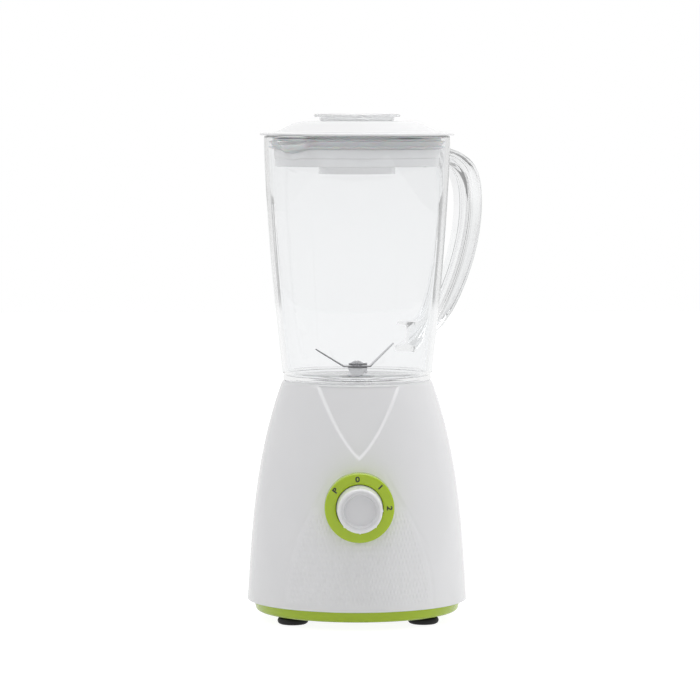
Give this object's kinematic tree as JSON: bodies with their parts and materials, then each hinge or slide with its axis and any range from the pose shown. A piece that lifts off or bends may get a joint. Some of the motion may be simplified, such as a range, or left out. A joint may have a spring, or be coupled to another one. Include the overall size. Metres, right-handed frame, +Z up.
{
  "type": "countertop blender",
  "caption": "Countertop blender: white flared motor base with green dial ring and bottom cover, clear handled jar with bent blades, white lid and clear measuring cap.",
  "frame": {"origin": "on the base's vertical axis, on the plane of the four feet's soles, where it meets the table", "axes": "+Z up along the motor's axis, -Y towards the front with the dial, +X to the right seen from the front"},
  "size_m": [0.1869, 0.2096, 0.39],
  "materials": {
    "white_plastic": "glossy white moulded plastic",
    "lid_plastic": "glossy white moulded plastic, a little translucent",
    "green_plastic": "glossy yellow-green moulded plastic",
    "dark_plastic": "dark glass-filled plastic",
    "clear_plastic": "clear moulded plastic",
    "black_rubber": "black rubber",
    "silicone": "pale translucent silicone",
    "steel": "plain machined steel",
    "blade_steel": "brushed stainless steel with ground edges",
    "laminations": "stacked electrical steel sheet, varnished",
    "cast_aluminium": "die-cast aluminium",
    "copper_wire": "enamelled copper",
    "brass": "plain brass",
    "carbon": "pressed carbon"
  },
  "bodies": {
    "base": {"housing_shell": "white_plastic", "jar_well": "white_plastic", "bottom_cover": "green_plastic", "foot_front_left": "black_rubber", "foot_front_right": "black_rubber", "foot_rear_left": "black_rubber", "foot_rear_right": "black_rubber", "cover_screws": "steel", "shaft_seal": "black_rubber", "dial_ring": "green_plastic", "rotary_switch": "dark_plastic", "switch_nut": "steel", "cord_gland": "black_rubber", "interlock_switch": "dark_plastic", "stator_core": "laminations", "field_coils": "copper_wire", "upper_bracket": "cast_aluminium", "lower_bracket": "cast_aluminium", "upper_bearing": "steel", "lower_bearing": "steel", "brush_holders": "brass", "carbon_brushes": "carbon", "brush_springs": "steel", "motor_bolts": "steel", "motor_mounts": "black_rubber", "mount_screws": "steel"},
    "rotor": {"motor_shaft": "steel", "armature_core": "laminations", "armature_windings": "copper_wire", "commutator": "copper_wire", "cooling_fan": "dark_plastic", "drive_coupling": "black_rubber"},
    "knob": {"speed_knob": "white_plastic", "switch_spindle": "steel"},
    "interlock": {"interlock_pin": "white_plastic"},
    "jar": {"jar": "clear_plastic", "jar_skirt": "clear_plastic", "blade_holder": "steel", "holder_gasket": "silicone", "retaining_nut": "dark_plastic", "shaft_bushings": "brass", "shaft_lip_seal": "black_rubber"},
    "blades": {"blade_shaft": "steel", "lower_blade": "blade_steel", "upper_blade": "blade_steel", "blade_washers": "steel", "cap_nut": "blade_steel", "driven_coupling": "black_rubber"},
    "lid": {"lid": "lid_plastic", "lid_gasket": "silicone"},
    "cap": {"measuring_cap": "clear_plastic"}
  },
  "joints": [
    {"name": "rotor_spin", "type": "hinge", "parent": "base", "child": "rotor", "pos_m": [0, 0, 0.1], "axis": [0, 0, 1], "continuous": true},
    {"name": "knob_turn", "type": "hinge", "parent": "base", "child": "knob", "pos_m": [0, -0.09, 0.094], "axis": [0, 1, 0], "range_deg": [-50, 91]},
    {"name": "jar_lift", "type": "slide", "parent": "base", "child": "jar", "axis": [0, 0, 1], "range_m": [0, 0.08]},
    {"name": "interlock_slide", "type": "slide", "parent": "base", "child": "interlock", "axis": [0, 0, 1], "range_m": [0, 0.0027]},
    {"name": "blades_spin", "type": "hinge", "parent": "jar", "child": "blades", "pos_m": [0, 0, 0.19], "axis": [0, 0, 1], "continuous": true},
    {"name": "lid_lift", "type": "slide", "parent": "jar", "child": "lid", "axis": [0, 0, 1], "range_m": [0, 0.06]},
    {"name": "cap_lift", "type": "slide", "parent": "lid", "child": "cap", "axis": [0, 0, 1], "range_m": [0, 0.06]}
  ],
  "couplings": [
    {"joint": "blades_spin", "follows": "rotor_spin", "ratio": 1},
    {"joint": "interlock_slide", "follows": "jar_lift", "ratio": 0.03375}
  ]
}
